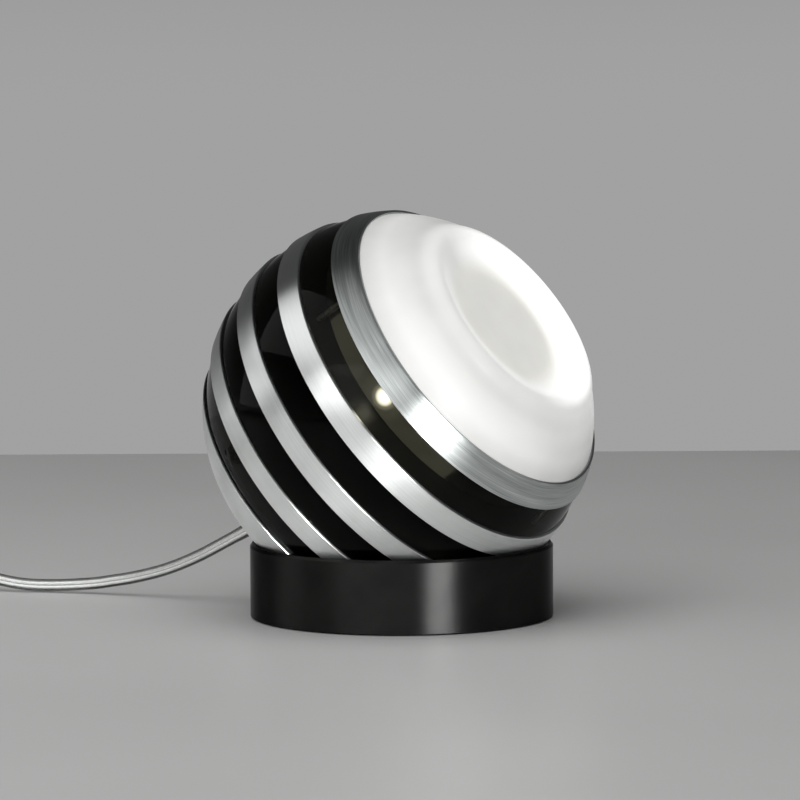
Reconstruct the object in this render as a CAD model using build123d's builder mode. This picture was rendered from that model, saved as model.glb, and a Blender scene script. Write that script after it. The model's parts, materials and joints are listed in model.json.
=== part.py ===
# LED table lamp: a ball-shaped head, stacked from metal and acrylic rings behind a moulded lens,
# rests in a ring-shaped base and takes its cord through the back. Sizes are in millimetres. The
# origin is the middle of the base's underside, +Z is up, the lens faces -Y and the cord leaves to +Y.

from build123d import *
import os
from math import asin, cos, degrees, pi, radians, sin, sqrt, tan

# The ball, the lean of the lamp's axis above level, and the small edges of its rings
ball_r = 75.0
lean_deg = 36.8
metal_edge = 0.25
acrylic_edge = 0.3
acrylic_recess = 1.0

# The stack of rings fills the ball between the cap at the back and the lens at the front
cap_h = 28.5
front_h = 33.5
metal_w = 9.3
acrylic_count = 4

# The bezel, with its seat for the lens
bezel_lip_w = 1.07
bezel_flange_w = 4.4
bezel_flange_t = 2.0
gasket_t = 0.8
gasket_w = 3.5
gasket_gap = 0.4

# The lens: a dome round a raised crest, and a shallow dish in the middle
lens_gap = 0.2
lens_drop = 0.3
lens_wall = 3.4
dome_h = 15.8
dome_bulge = 0.87
crest_r = 39.8
crest_side = 5.4
crest_rise = 3.9
crest_bulge = 1.0
slope_bulge = 0.75
dish_r = 27.5
dish_drop = 4.5
dish_sag = 1.5
dish_wall = 3.2

# The light engine on the first metal ring
bore_step = 1.0
plate_gap = 0.3
plate_t = 4.0
board_t = 1.6
chip_count = 12
chip_inset = 9.0
chip_w = 5.0
chip_t = 1.1
edge_led_r = 2.3
edge_led_h = 2.2
edge_led_inset = 2.7
edge_led_turn_deg = 186.5
wire_hole_r = 5.0

# The core tube, and the heat sink round it
core_r = 14.0
core_bore_r = 9.0
core_back_gap = 2.4
hub_wall = 3.0
hub_gap = 0.05
fin_count = 16
fin_t = 2.0
fin_gap = 0.3
sink_back_gap = 4.0

# The tie rods that clamp the stack, and their nuts
rod_count = 3
rod_turn_deg = 90.0
rod_ring_r = 39.0
rod_room = 5.0
rod_r = 2.0
rod_gap = 0.1
thread_gap = 0.05
rod_sink = 9.0
rod_tail = 1.0
nut_h = 3.2
nut_r = 4.0

# The screws that hold the bezel
bezel_screw_turn_deg = 30.0
bezel_screw_edge = 1.9
bezel_screw_r = 1.2
bezel_screw_gap = 0.05
bezel_screw_bite = 3.0
bezel_screw_spare = 0.3
bezel_screw_head_r = 2.2
bezel_screw_head_h = 1.8
bezel_screw_head_sink = 0.1

# The pocket in the cap, the driver board on its ledge and the parts behind it
cap_wall = 13.0
pocket_side = 6.0
driver_ledge_w = 2.0
driver_drop = 3.5
driver_t = 1.6
driver_gap = 0.3
driver_hole_r = 8.0
transformer_l = 14.0
transformer_w = 17.0
transformer_h = 8.0
capacitor_r = 4.5
capacitor_h = 7.5
capacitor_turn_deg = 140.0
driver_edge_room = 11.0

# The cable gland, on which the head rolls, with its nut and the strain relief
gland_flange_r = 7.5
gland_flange_t = 2.0
gland_flange_gap = 0.1
gland_shank_r = 5.5
gland_gap = 0.06
gland_nut_r = 9.5
gland_nut_t = 3.0
gland_nut_gap = 0.1
gland_tail = 1.2
lead_bore_r = 3.0
relief_r = 3.5
relief_gap = 0.05
relief_root = 4.0
relief_l = 17.4
relief_tip_r = 2.75

# The leads inside the head
lead_r = 0.8
lead_place = 1.5
lead_rise = 4.0
lead_reach = 9.0
lead_bend_r = 2.5
lead_end_gap = 0.3

# The felt and the seat ring that carry the ball, and the washer under them
felt_gap = 0.28
felt_t = 1.2
felt_w = 4.8
seat_w = 7.3
seat_in_h = 4.67
seat_felt_gap = 0.05
seat_side_gap = 0.25
seat_run_gap = 0.05
washer_t = 1.0
washer_gap = 0.1

# The base, from its foot pad up
base_r = 57.5
pad_t = 0.6
pad_inset = 3.2
ball_clear = 2.13
bottom_plate_t = 1.2
weight_gap = 0.1
groove_floor_t = 2.0
groove_wall = 5.45
groove_lip_w = 3.45
groove_lip_h = 4.5
base_wall = 3.0
inner_wall = 2.0
rim_gap = 0.4
rim_flat_w = 1.1
rim_chamfer_w = 0.8
rim_chamfer_h = 1.0
base_screw_count = 3
base_screw_r = 1.5
base_screw_gap = 0.05
base_screw_bite = 1.6
base_screw_head_r = 2.9
base_screw_head_h = 0.8

# The in-line switch, its rocker and its inside
switch_l = 52.0
switch_w = 22.0
switch_h = 16.9
switch_lift = 0.05
switch_corner = 5.0
switch_edge = 1.6
switch_wall = 2.2
switch_x = -13.5
switch_y = 230.0
boot_l = 4.0
boot_root_r = 5.0
boot_tip_r = 3.2
rocker_l = 14.2
rocker_w = 9.0
rocker_gap = 0.4
rocker_under = 2.5
rocker_pivot_r = 1.4
rocker_pivot_gap = 0.06
rocker_pivot_drop = 4.6
rocker_rise = 2.2
rocker_dent = 1.6
rocker_tilt_deg = 7.0
rocker_lug_w = 2.4
rocker_lug_gap = 0.3
rocker_lug_r = 3.2
terminal_l = 6.0
terminal_w = 13.0
terminal_h = 5.0
terminal_place = 12.5
post_r = 3.2
post_place = 20.0
switch_screw_r = 1.3
switch_screw_gap = 0.05
switch_screw_bite = 4.0
switch_screw_head_r = 2.4
switch_screw_head_h = 1.6
switch_screw_head_sink = 1.0

# The plug and its two round pins
plug_x = -122.0
plug_back_y = 242.0
plug_l = 36.0
plug_face_w = 35.3
plug_face_l = 8.0
plug_back_w = 11.0
plug_h = 13.7
plug_lift = 0.05
plug_corner = 2.4
plug_edge = 1.5
pin_r = 2.0
pin_l = 19.0
pin_spacing = 18.6
pin_root = 6.0
pin_root_r = 1.6
pin_gap = 0.02
pin_tip = 0.8

# The coil of spare cord: half turns that spiral in, climb a layer and spiral out, and its tie
coil_x = -68.0
coil_top_y = 295.1
coil_r = 39.8
coil_gap = 0.5
coil_half_turns_in = 8
coil_lift = 0.8
coil_step = 2.0
tie_t = 0.6
tie_w = 8.0
tie_gap = 0.4
tie_lift = 0.05
tie_corner = 2.0

# The cord and its route: from the strain relief to the switch in two pieces, then on to the coil,
# and from the coil to the plug
cord_r = 2.4
run_share = 0.45
cord_exit_route = [
    (0.0, 73.68, 23.81),
    (0.0, 79.28, 19.62),
    (0.3, 91.5, 14.4),
    (0.8, 106.0, 9.8),
    (0.8, 121.0, 6.0),
    (-0.2, 129.0, 4.7),
]
cord_run_route = [
    (-0.2, 129.0, 4.7),
    (-1.2, 137.0, 3.4),
    (-4.2, 152.0, 2.5),
    (-8.6, 165.5, 2.6),
    (-11.9, 178.5, 5.2),
    (-13.5, 191.0, 8.5),
    (-13.5, 200.0, 8.5),
]
cord_link_route = [
    (-13.5, 260.0, 8.5),
    (-13.5, 269.0, 8.5),
    (-16.0, 280.0, 7.1),
    (-22.6, 289.0, 5.4),
    (-32.0, 294.8, 4.1),
    (-43.2, 297.0, 3.4),
    (-54.2, 295.1, 3.2),
    (-63.2, 295.1, 3.2),
]
cord_tail_route = [
    (-72.8, 295.1, 8.5),
    (-81.8, 295.1, 8.5),
    (-94.0, 291.9, 6.8),
    (-105.8, 284.8, 3.8),
    (-114.2, 273.4, 2.6),
    (-119.6, 262.0, 4.2),
    (-122.0, 251.5, 6.9),
    (-122.0, 242.0, 6.9),
]

# How far cuts run past what they cut
overrun = 1.0

os.makedirs("parts", exist_ok=True)


def skin_at(height, skin_r):
    """Give how far a ball's skin is from the lamp's axis at a height along the axis."""
    return sqrt(skin_r**2 - height**2)


# Heights along the lamp's axis, from the ball's centre
ring_pitch = (2 * ball_r - cap_h - front_h) / acrylic_count
acrylic_w = ring_pitch - metal_w
cap_front = cap_h - ball_r
bezel_back = cap_front + acrylic_count * ring_pitch - metal_w
bezel_front = bezel_back + metal_w
plate_back = bezel_back - acrylic_w
plate_front = plate_back + plate_t
board_front = plate_front + board_t
bezel_seat = bezel_back + bezel_flange_t
lens_back = bezel_seat + gasket_t
lens_edge = bezel_front - lens_drop

# Distances from the lamp's axis
acrylic_r = ball_r - acrylic_recess
bezel_bore_r = skin_at(bezel_front, ball_r) - bezel_lip_w
bezel_flange_bore_r = bezel_bore_r - bezel_flange_w
bezel_screw_ring_r = bezel_bore_r + bezel_screw_edge
lens_r = bezel_bore_r - lens_gap
front_acrylic_bore_r = bezel_flange_bore_r - bore_step
acrylic_bore_r = rod_ring_r + rod_room
metal_bore_r = rod_ring_r - rod_room
plate_r = front_acrylic_bore_r - plate_gap
board_r = metal_bore_r
pocket_r = rod_ring_r - pocket_side

# The base, from the floor up, and from the outside in
plate_low = pad_t
weight_low = plate_low + bottom_plate_t
head_z = weight_low + ball_clear + ball_r
groove_r = base_r - groove_wall
seat_r = groove_r - seat_side_gap
seat_bore_r = seat_r - seat_w
lip_r = seat_bore_r - seat_run_gap
lip_bore_r = lip_r - groove_lip_w
felt_back_r = ball_r + felt_gap + felt_t
seat_face_r = felt_back_r + seat_felt_gap
seat_low = head_z - sqrt(seat_face_r**2 - seat_bore_r**2) - seat_in_h
groove_floor = seat_low - washer_t
groove_under = groove_floor - groove_floor_t
weight_t = groove_under - weight_gap - weight_low
bowl_r = ball_r + rim_gap
rim_bore_r = base_r - rim_chamfer_w - rim_flat_w
base_h = head_z - sqrt(bowl_r**2 - rim_bore_r**2)
print(f"base height {base_h:.2f}, ball centre {head_z:.3f}, lens radius {lens_r:.2f}, weight {weight_t:.2f}")

# The section plane holds the lamp's axis: x is the distance from it, and y the height along it.
# The other plane lies square to the axis, through the ball's centre.
lean = radians(lean_deg)
head_centre = (0, 0, head_z)
axis_dir = (0, -cos(lean), sin(lean))
lamp_axis = Axis(head_centre, axis_dir)
section = Plane(origin=head_centre, x_dir=(1, 0, 0), z_dir=(0, -sin(lean), -cos(lean)))
across = Plane(origin=head_centre, x_dir=(1, 0, 0), z_dir=axis_dir)


def draw_band(low, high, skin_r, bore_r, edge):
    """Draw half the section of a ring whose outside lies on a ball and has small chamfers."""
    low_r = skin_at(low + edge, skin_r)
    high_r = skin_at(high - edge, skin_r)
    middle = (low + high) / 2
    Polyline((low_r, low + edge), (low_r - edge, low), (bore_r, low), (bore_r, high))
    Polyline((bore_r, high), (high_r - edge, high), (high_r, high - edge))
    ThreePointArc((high_r, high - edge), (skin_at(middle, skin_r), middle), (low_r, low + edge))


# The bezel: a metal ring with a flange inside for the lens, and blind holes for its screws
with BuildPart() as bezel:
    with BuildSketch(section):
        with BuildLine():
            draw_band(bezel_back, bezel_front, ball_r, bezel_flange_bore_r, metal_edge)
        make_face()
    revolve(axis=lamp_axis)
    with BuildSketch(across.offset(bezel_seat)):
        Circle(bezel_bore_r)
    extrude(amount=bezel_front - bezel_seat + overrun, mode=Mode.SUBTRACT)
    with BuildSketch(across.offset(bezel_back)):
        with PolarLocations(bezel_screw_ring_r, rod_count, bezel_screw_turn_deg):
            Circle(bezel_screw_r + bezel_screw_gap)
    extrude(amount=bezel_screw_bite + bezel_screw_spare, mode=Mode.SUBTRACT)
bezel.part.label = "bezel"
export_step(bezel.part, "parts/bezel.step")

# The gasket between the bezel's flange and the lens
with BuildPart() as lens_gasket:
    with BuildSketch(across.offset(bezel_seat)):
        Circle(bezel_bore_r - gasket_gap)
        Circle(bezel_bore_r - gasket_gap - gasket_w, mode=Mode.SUBTRACT)
    extrude(amount=gasket_t)
lens_gasket.part.label = "lens_gasket"
export_step(lens_gasket.part, "parts/lens_gasket.step")

# The lens: its outside from the rim over the crest to the dish, then its inside back to the rim
valley = (crest_r + crest_side, lens_edge + dome_h)
crest = (crest_r, valley[1] + crest_rise)
dish_edge = (dish_r, crest[1] - dish_drop)
dish_middle = (0, dish_edge[1] - dish_sag)
dish_ball_r = (dish_r**2 + dish_sag**2) / (2 * dish_sag)
dish_turn = asin(dish_r / dish_ball_r) / 2
dish_half = (dish_ball_r * sin(dish_turn), dish_middle[1] + dish_ball_r * (1 - cos(dish_turn)))
inner_middle = (0, dish_middle[1] - dish_wall)
inner_half = (dish_half[0], dish_half[1] - dish_wall)
inner_dish = (dish_r, dish_edge[1] - dish_wall)
inner_dome = (valley[0] - lens_wall, valley[1] - lens_wall)
inner_rim = (lens_r - lens_wall, lens_edge - lens_wall)
with BuildPart() as lens:
    with BuildSketch(section):
        with BuildLine():
            Polyline((lens_r - lens_wall, lens_back), (lens_r, lens_back), (lens_r, lens_edge))
            SagittaArc((lens_r, lens_edge), valley, -dome_bulge)
            SagittaArc(valley, crest, -crest_bulge)
            SagittaArc(crest, dish_edge, -slope_bulge)
            ThreePointArc(dish_edge, dish_half, dish_middle)
            Polyline(dish_middle, inner_middle)
            ThreePointArc(inner_middle, inner_half, inner_dish)
            Line(inner_dish, inner_dome)
            SagittaArc(inner_dome, inner_rim, dome_bulge)
            Line(inner_rim, (lens_r - lens_wall, lens_back))
        make_face()
    revolve(axis=lamp_axis)
lens.part.label = "lens"
export_step(lens.part, "parts/lens.step")

# The acrylic rings: the front one is wider inside, for the light engine, and the bezel's screws
# pass through it
for place in range(acrylic_count):
    front = bezel_back - place * ring_pitch
    bore_r = acrylic_bore_r if place else front_acrylic_bore_r
    with BuildPart() as acrylic_ring:
        with BuildSketch(section):
            with BuildLine():
                draw_band(front - acrylic_w, front, acrylic_r, bore_r, acrylic_edge)
            make_face()
        revolve(axis=lamp_axis)
        if place == 0:
            with BuildSketch(across.offset(front)):
                with PolarLocations(bezel_screw_ring_r, rod_count, bezel_screw_turn_deg):
                    Circle(bezel_screw_r + bezel_screw_gap)
            extrude(amount=-acrylic_w, mode=Mode.SUBTRACT)
    acrylic_ring.part.label = f"acrylic_ring_{place + 1}"
    export_step(acrylic_ring.part, f"parts/acrylic_ring_{place + 1}.step")

# The metal rings, with holes for the tie rods: the bezel's screws start from the back of the first
screw_seat = plate_back - metal_w + bezel_screw_head_h + bezel_screw_head_sink
for place in range(acrylic_count - 1):
    front = plate_back - place * ring_pitch
    with BuildPart() as metal_ring:
        with BuildSketch(section):
            with BuildLine():
                draw_band(front - metal_w, front, ball_r, metal_bore_r, metal_edge)
            make_face()
        revolve(axis=lamp_axis)
        with BuildSketch(across.offset(front)):
            with PolarLocations(rod_ring_r, rod_count, rod_turn_deg):
                Circle(rod_r + rod_gap)
            if place == 0:
                with PolarLocations(bezel_screw_ring_r, rod_count, bezel_screw_turn_deg):
                    Circle(bezel_screw_r + bezel_screw_gap)
        extrude(amount=-metal_w, mode=Mode.SUBTRACT)
        if place == 0:
            with BuildSketch(across.offset(screw_seat)):
                with PolarLocations(bezel_screw_ring_r, rod_count, bezel_screw_turn_deg):
                    Circle(bezel_screw_head_r + bezel_screw_gap)
            extrude(amount=-metal_w, mode=Mode.SUBTRACT)
    metal_ring.part.label = f"metal_ring_{place + 1}"
    export_step(metal_ring.part, f"parts/metal_ring_{place + 1}.step")

# The bezel's screws, from the first metal ring into the bezel
with BuildPart() as bezel_screws:
    with BuildSketch(across.offset(screw_seat)):
        with PolarLocations(bezel_screw_ring_r, rod_count, bezel_screw_turn_deg):
            Circle(bezel_screw_head_r)
    extrude(amount=-bezel_screw_head_h)
    with BuildSketch(across.offset(screw_seat)):
        with PolarLocations(bezel_screw_ring_r, rod_count, bezel_screw_turn_deg):
            Circle(bezel_screw_r)
    extrude(amount=bezel_back + bezel_screw_bite - screw_seat)
bezel_screws.part.label = "bezel_screws"
export_step(bezel_screws.part, "parts/bezel_screws.step")

# The light engine's plate, its board, the chips and the small lamp at the edge
with BuildPart() as led_plate:
    with BuildSketch(across.offset(plate_back)):
        Circle(plate_r)
        Circle(wire_hole_r, mode=Mode.SUBTRACT)
        with PolarLocations(rod_ring_r, rod_count, rod_turn_deg):
            Circle(rod_r + rod_gap, mode=Mode.SUBTRACT)
    extrude(amount=plate_t)
led_plate.part.label = "led_plate"
export_step(led_plate.part, "parts/led_plate.step")

with BuildPart() as led_board:
    with BuildSketch(across.offset(plate_front)):
        Circle(board_r)
        Circle(wire_hole_r, mode=Mode.SUBTRACT)
    extrude(amount=board_t)
led_board.part.label = "led_board"
export_step(led_board.part, "parts/led_board.step")

chip_turn_deg = rod_turn_deg + degrees(pi / chip_count)
with BuildPart() as led_chips:
    with BuildSketch(across.offset(board_front)):
        with PolarLocations(board_r - chip_inset, chip_count, chip_turn_deg):
            Rectangle(chip_w, chip_w)
    extrude(amount=chip_t)
led_chips.part.label = "led_chips"
export_step(led_chips.part, "parts/led_chips.step")

with BuildPart() as edge_led:
    with BuildSketch(across.offset(plate_front)):
        with PolarLocations(plate_r - edge_led_inset, 1, edge_led_turn_deg):
            Circle(edge_led_r)
    extrude(amount=edge_led_h)
edge_led.part.label = "edge_led"
export_step(edge_led.part, "parts/edge_led.step")

# The driver board on its ledge in the cap, and what it carries on its back
driver_back = cap_front - driver_drop
driver_front = driver_back + driver_t
pocket_floor = cap_wall - ball_r
driver_ring_r = pocket_r - driver_ledge_w - driver_edge_room
with BuildPart() as driver_board:
    with BuildSketch(across.offset(driver_back)):
        Circle(pocket_r - driver_gap)
        Circle(driver_hole_r, mode=Mode.SUBTRACT)
    extrude(amount=driver_t)
driver_board.part.label = "driver_board"
export_step(driver_board.part, "parts/driver_board.step")

with BuildPart() as driver_parts:
    with BuildSketch(across.offset(driver_back)):
        with Locations((driver_ring_r, 0)):
            Rectangle(transformer_l, transformer_w)
    extrude(amount=-transformer_h)
    with BuildSketch(across.offset(driver_back)):
        with PolarLocations(driver_ring_r, 1, capacitor_turn_deg):
            Circle(capacitor_r)
        with PolarLocations(driver_ring_r, 1, -capacitor_turn_deg):
            Circle(capacitor_r)
    extrude(amount=-capacitor_h)
driver_parts.part.label = "driver_parts"
export_step(driver_parts.part, "parts/driver_parts.step")

# The core tube, and the heat sink's hub and fins, both against the back of the plate
core_back = driver_front + core_back_gap
with BuildPart() as core_tube:
    with BuildSketch(across.offset(core_back)):
        Circle(core_r)
        Circle(core_bore_r, mode=Mode.SUBTRACT)
    extrude(amount=plate_back - core_back)
core_tube.part.label = "core_tube"
export_step(core_tube.part, "parts/core_tube.step")

sink_back = core_back + sink_back_gap
hub_bore_r = core_r + hub_gap
fin_start_r = hub_bore_r + hub_wall / 2
fin_end_r = metal_bore_r - fin_gap
with BuildPart() as heat_sink:
    with BuildSketch(across.offset(sink_back)):
        Circle(hub_bore_r + hub_wall)
        with PolarLocations((fin_start_r + fin_end_r) / 2, fin_count):
            Rectangle(fin_end_r - fin_start_r, fin_t)
        Circle(hub_bore_r, mode=Mode.SUBTRACT)
    extrude(amount=plate_back - sink_back)
heat_sink.part.label = "heat_sink"
export_step(heat_sink.part, "parts/heat_sink.step")

# The tie rods, screwed into the cap, and their nuts on the plate
with BuildPart() as tie_rods:
    with BuildSketch(across.offset(cap_front - rod_sink)):
        with PolarLocations(rod_ring_r, rod_count, rod_turn_deg):
            Circle(rod_r)
    extrude(amount=plate_front + nut_h + rod_tail - cap_front + rod_sink)
tie_rods.part.label = "tie_rods"
export_step(tie_rods.part, "parts/tie_rods.step")

with BuildPart() as tie_nuts:
    with BuildSketch(across.offset(plate_front)):
        with PolarLocations(rod_ring_r, rod_count, rod_turn_deg):
            RegularPolygon(nut_r, 6)
            Circle(rod_r + thread_gap, mode=Mode.SUBTRACT)
    extrude(amount=nut_h)
tie_nuts.part.label = "tie_nuts"
export_step(tie_nuts.part, "parts/tie_nuts.step")

# The cap: the back of the ball, with the driver's pocket, the gland's seat and the rods' holes
gland_mouth_r = gland_flange_r + gland_flange_gap
gland_face = -skin_at(gland_mouth_r, ball_r)
gland_seat = gland_face + gland_flange_t
cap_edge_r = skin_at(cap_front - metal_edge, ball_r)
cap_turn = (asin(gland_mouth_r / ball_r) + asin(cap_edge_r / ball_r)) / 2
cap_middle = (ball_r * sin(cap_turn), -ball_r * cos(cap_turn))
with BuildPart() as back_cap:
    with BuildSketch(section):
        with BuildLine():
            Polyline(
                (gland_mouth_r, gland_face),
                (gland_mouth_r, gland_seat),
                (gland_shank_r + gland_gap, gland_seat),
                (gland_shank_r + gland_gap, pocket_floor),
                (pocket_r - driver_ledge_w, pocket_floor),
                (pocket_r - driver_ledge_w, driver_back),
                (pocket_r, driver_back),
                (pocket_r, cap_front),
                (cap_edge_r - metal_edge, cap_front),
                (cap_edge_r, cap_front - metal_edge),
            )
            ThreePointArc((cap_edge_r, cap_front - metal_edge), cap_middle, (gland_mouth_r, gland_face))
        make_face()
    revolve(axis=lamp_axis)
    with BuildSketch(across.offset(cap_front)):
        with PolarLocations(rod_ring_r, rod_count, rod_turn_deg):
            Circle(rod_r + thread_gap)
    extrude(amount=-rod_sink, mode=Mode.SUBTRACT)
back_cap.part.label = "back_cap"
export_step(back_cap.part, "parts/back_cap.step")

# The gland, its nut inside the cap, and the strain relief that it holds
relief_bore_r = relief_r + relief_gap
relief_start = gland_face + relief_root
gland_nut_back = pocket_floor + gland_nut_gap
gland_end = gland_nut_back + gland_nut_t + gland_tail
with BuildPart() as cable_gland:
    with BuildSketch(section):
        with BuildLine():
            Polyline(
                (relief_bore_r, gland_face),
                (gland_flange_r, gland_face),
                (gland_flange_r, gland_seat),
                (gland_shank_r, gland_seat),
                (gland_shank_r, gland_end),
                (lead_bore_r, gland_end),
                (lead_bore_r, relief_start),
                (relief_bore_r, relief_start),
                close=True,
            )
        make_face()
    revolve(axis=lamp_axis)
cable_gland.part.label = "cable_gland"
export_step(cable_gland.part, "parts/cable_gland.step")

with BuildPart() as gland_nut:
    with BuildSketch(across.offset(gland_nut_back)):
        RegularPolygon(gland_nut_r, 6)
        Circle(gland_shank_r + thread_gap, mode=Mode.SUBTRACT)
    extrude(amount=gland_nut_t)
gland_nut.part.label = "gland_nut"
export_step(gland_nut.part, "parts/gland_nut.step")

relief_end = gland_face - relief_l
with BuildPart() as strain_relief:
    with BuildSketch(section):
        with BuildLine():
            Polyline(
                (0, relief_start),
                (relief_r, relief_start),
                (relief_r, gland_face),
                (relief_tip_r, relief_end),
                (0, relief_end),
                close=True,
            )
        make_face()
    revolve(axis=lamp_axis)
strain_relief.part.label = "strain_relief"
export_step(strain_relief.part, "parts/strain_relief.step")

# The two leads inside, from the strain relief through the core tube to the board
lead_start = relief_start + lead_end_gap
lead_top = board_front + lead_rise
with BuildPart() as inner_leads:
    for side in (-1, 1):
        with BuildLine(section) as lead:
            FilletPolyline(
                (side * lead_place, lead_start),
                (side * lead_place, lead_top),
                (side * (lead_place + lead_reach), lead_top),
                (side * (lead_place + lead_reach), board_front),
                radius=lead_bend_r,
            )
        with BuildSketch(Plane(origin=lead.line @ 0, z_dir=lead.line % 0)):
            Circle(lead_r)
        sweep(path=lead.line)
inner_leads.part.label = "inner_leads"
export_step(inner_leads.part, "parts/inner_leads.step")

# The seat ring that turns in the base's groove, with the felt on which the ball rests
felt_spare = (seat_w - felt_w) / 2
felt_in = asin((seat_bore_r + felt_spare) / felt_back_r)
felt_out = asin((seat_r - felt_spare) / felt_back_r)


def under_ball(skin_r, turn):
    """Give a point in the XZ plane under the ball, at an angle from straight down."""
    return (skin_r * sin(turn), head_z - skin_r * cos(turn))


seat_in = asin(seat_bore_r / seat_face_r)
seat_out = asin(seat_r / seat_face_r)
with BuildPart() as seat_ring:
    with BuildSketch(Plane.XZ):
        with BuildLine():
            ThreePointArc(
                under_ball(seat_face_r, seat_in),
                under_ball(seat_face_r, (seat_in + seat_out) / 2),
                under_ball(seat_face_r, seat_out),
            )
            Polyline(
                under_ball(seat_face_r, seat_out),
                (seat_r, seat_low),
                (seat_bore_r, seat_low),
                under_ball(seat_face_r, seat_in),
            )
        make_face()
    revolve(axis=Axis.Z)
seat_ring.part.label = "seat_ring"
export_step(seat_ring.part, "parts/seat_ring.step")

felt_middle = (felt_in + felt_out) / 2
felt_face_r = ball_r + felt_gap
with BuildPart() as seat_felt:
    with BuildSketch(Plane.XZ):
        with BuildLine():
            ThreePointArc(
                under_ball(felt_face_r, felt_in),
                under_ball(felt_face_r, felt_middle),
                under_ball(felt_face_r, felt_out),
            )
            Line(under_ball(felt_face_r, felt_out), under_ball(felt_back_r, felt_out))
            ThreePointArc(
                under_ball(felt_back_r, felt_out),
                under_ball(felt_back_r, felt_middle),
                under_ball(felt_back_r, felt_in),
            )
            Line(under_ball(felt_back_r, felt_in), under_ball(felt_face_r, felt_in))
        make_face()
    revolve(axis=Axis.Z)
seat_felt.part.label = "seat_felt"
export_step(seat_felt.part, "parts/seat_felt.step")

with BuildPart() as bearing_washer:
    with BuildSketch(Plane.XY.offset(groove_floor)):
        Circle(seat_r - washer_gap)
        Circle(seat_bore_r + washer_gap, mode=Mode.SUBTRACT)
    extrude(amount=washer_t)
bearing_washer.part.label = "bearing_washer"
export_step(bearing_washer.part, "parts/bearing_washer.step")

# The base's ring: the outer wall with its chamfered rim, the bowl, the groove and its lip
bowl_in = asin(groove_r / bowl_r)
bowl_out = asin(rim_bore_r / bowl_r)
weight_r = base_r - base_wall
weight_bore_r = lip_bore_r + inner_wall
base_screw_ring_r = (weight_r + weight_bore_r) / 2
with BuildPart() as base_ring:
    with BuildSketch(Plane.XZ):
        with BuildLine():
            Polyline(
                (groove_r, under_ball(bowl_r, bowl_in)[1]),
                (groove_r, groove_floor),
                (lip_r, groove_floor),
                (lip_r, groove_floor + groove_lip_h),
                (lip_bore_r, groove_floor + groove_lip_h),
                (lip_bore_r, weight_low),
                (weight_bore_r, weight_low),
                (weight_bore_r, groove_under),
                (weight_r, groove_under),
                (weight_r, plate_low),
                (base_r, plate_low),
                (base_r, base_h - rim_chamfer_h),
                (base_r - rim_chamfer_w, base_h),
                (rim_bore_r, base_h),
            )
            ThreePointArc(
                (rim_bore_r, base_h),
                under_ball(bowl_r, (bowl_in + bowl_out) / 2),
                (groove_r, under_ball(bowl_r, bowl_in)[1]),
            )
        make_face()
    revolve(axis=Axis.Z)
    with BuildSketch(Plane.XY.offset(groove_under)):
        with PolarLocations(base_screw_ring_r, base_screw_count):
            Circle(base_screw_r + base_screw_gap)
    extrude(amount=base_screw_bite, mode=Mode.SUBTRACT)
base_ring.part.label = "base_ring"
export_step(base_ring.part, "parts/base_ring.step")

# The weight in the base, the plate under it with its screws, and the foot pad
with BuildPart() as base_weight:
    with BuildSketch(Plane.XY.offset(weight_low)):
        Circle(weight_r - weight_gap)
        Circle(weight_bore_r + weight_gap, mode=Mode.SUBTRACT)
        with PolarLocations(base_screw_ring_r, base_screw_count):
            Circle(base_screw_r + base_screw_gap, mode=Mode.SUBTRACT)
    extrude(amount=weight_t)
base_weight.part.label = "base_weight"
export_step(base_weight.part, "parts/base_weight.step")

with BuildPart() as bottom_plate:
    with BuildSketch(Plane.XY.offset(plate_low)):
        Circle(weight_r - weight_gap)
        with PolarLocations(base_screw_ring_r, base_screw_count):
            Circle(base_screw_r + base_screw_gap, mode=Mode.SUBTRACT)
    extrude(amount=bottom_plate_t)
    with BuildSketch(Plane.XY.offset(plate_low)):
        with PolarLocations(base_screw_ring_r, base_screw_count):
            Circle(base_screw_head_r + base_screw_gap)
    extrude(amount=base_screw_head_h, mode=Mode.SUBTRACT)
bottom_plate.part.label = "bottom_plate"
export_step(bottom_plate.part, "parts/bottom_plate.step")

with BuildPart() as base_screws:
    with BuildSketch(Plane.XY.offset(plate_low)):
        with PolarLocations(base_screw_ring_r, base_screw_count):
            Circle(base_screw_head_r)
    extrude(amount=base_screw_head_h)
    with BuildSketch(Plane.XY.offset(plate_low)):
        with PolarLocations(base_screw_ring_r, base_screw_count):
            Circle(base_screw_r)
    extrude(amount=groove_under + base_screw_bite - plate_low)
base_screws.part.label = "base_screws"
export_step(base_screws.part, "parts/base_screws.step")

with BuildPart() as foot_pad:
    with BuildSketch(Plane.XY):
        Circle(base_r - pad_inset)
    extrude(amount=pad_t)
foot_pad.part.label = "foot_pad"
export_step(foot_pad.part, "parts/foot_pad.step")

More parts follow.
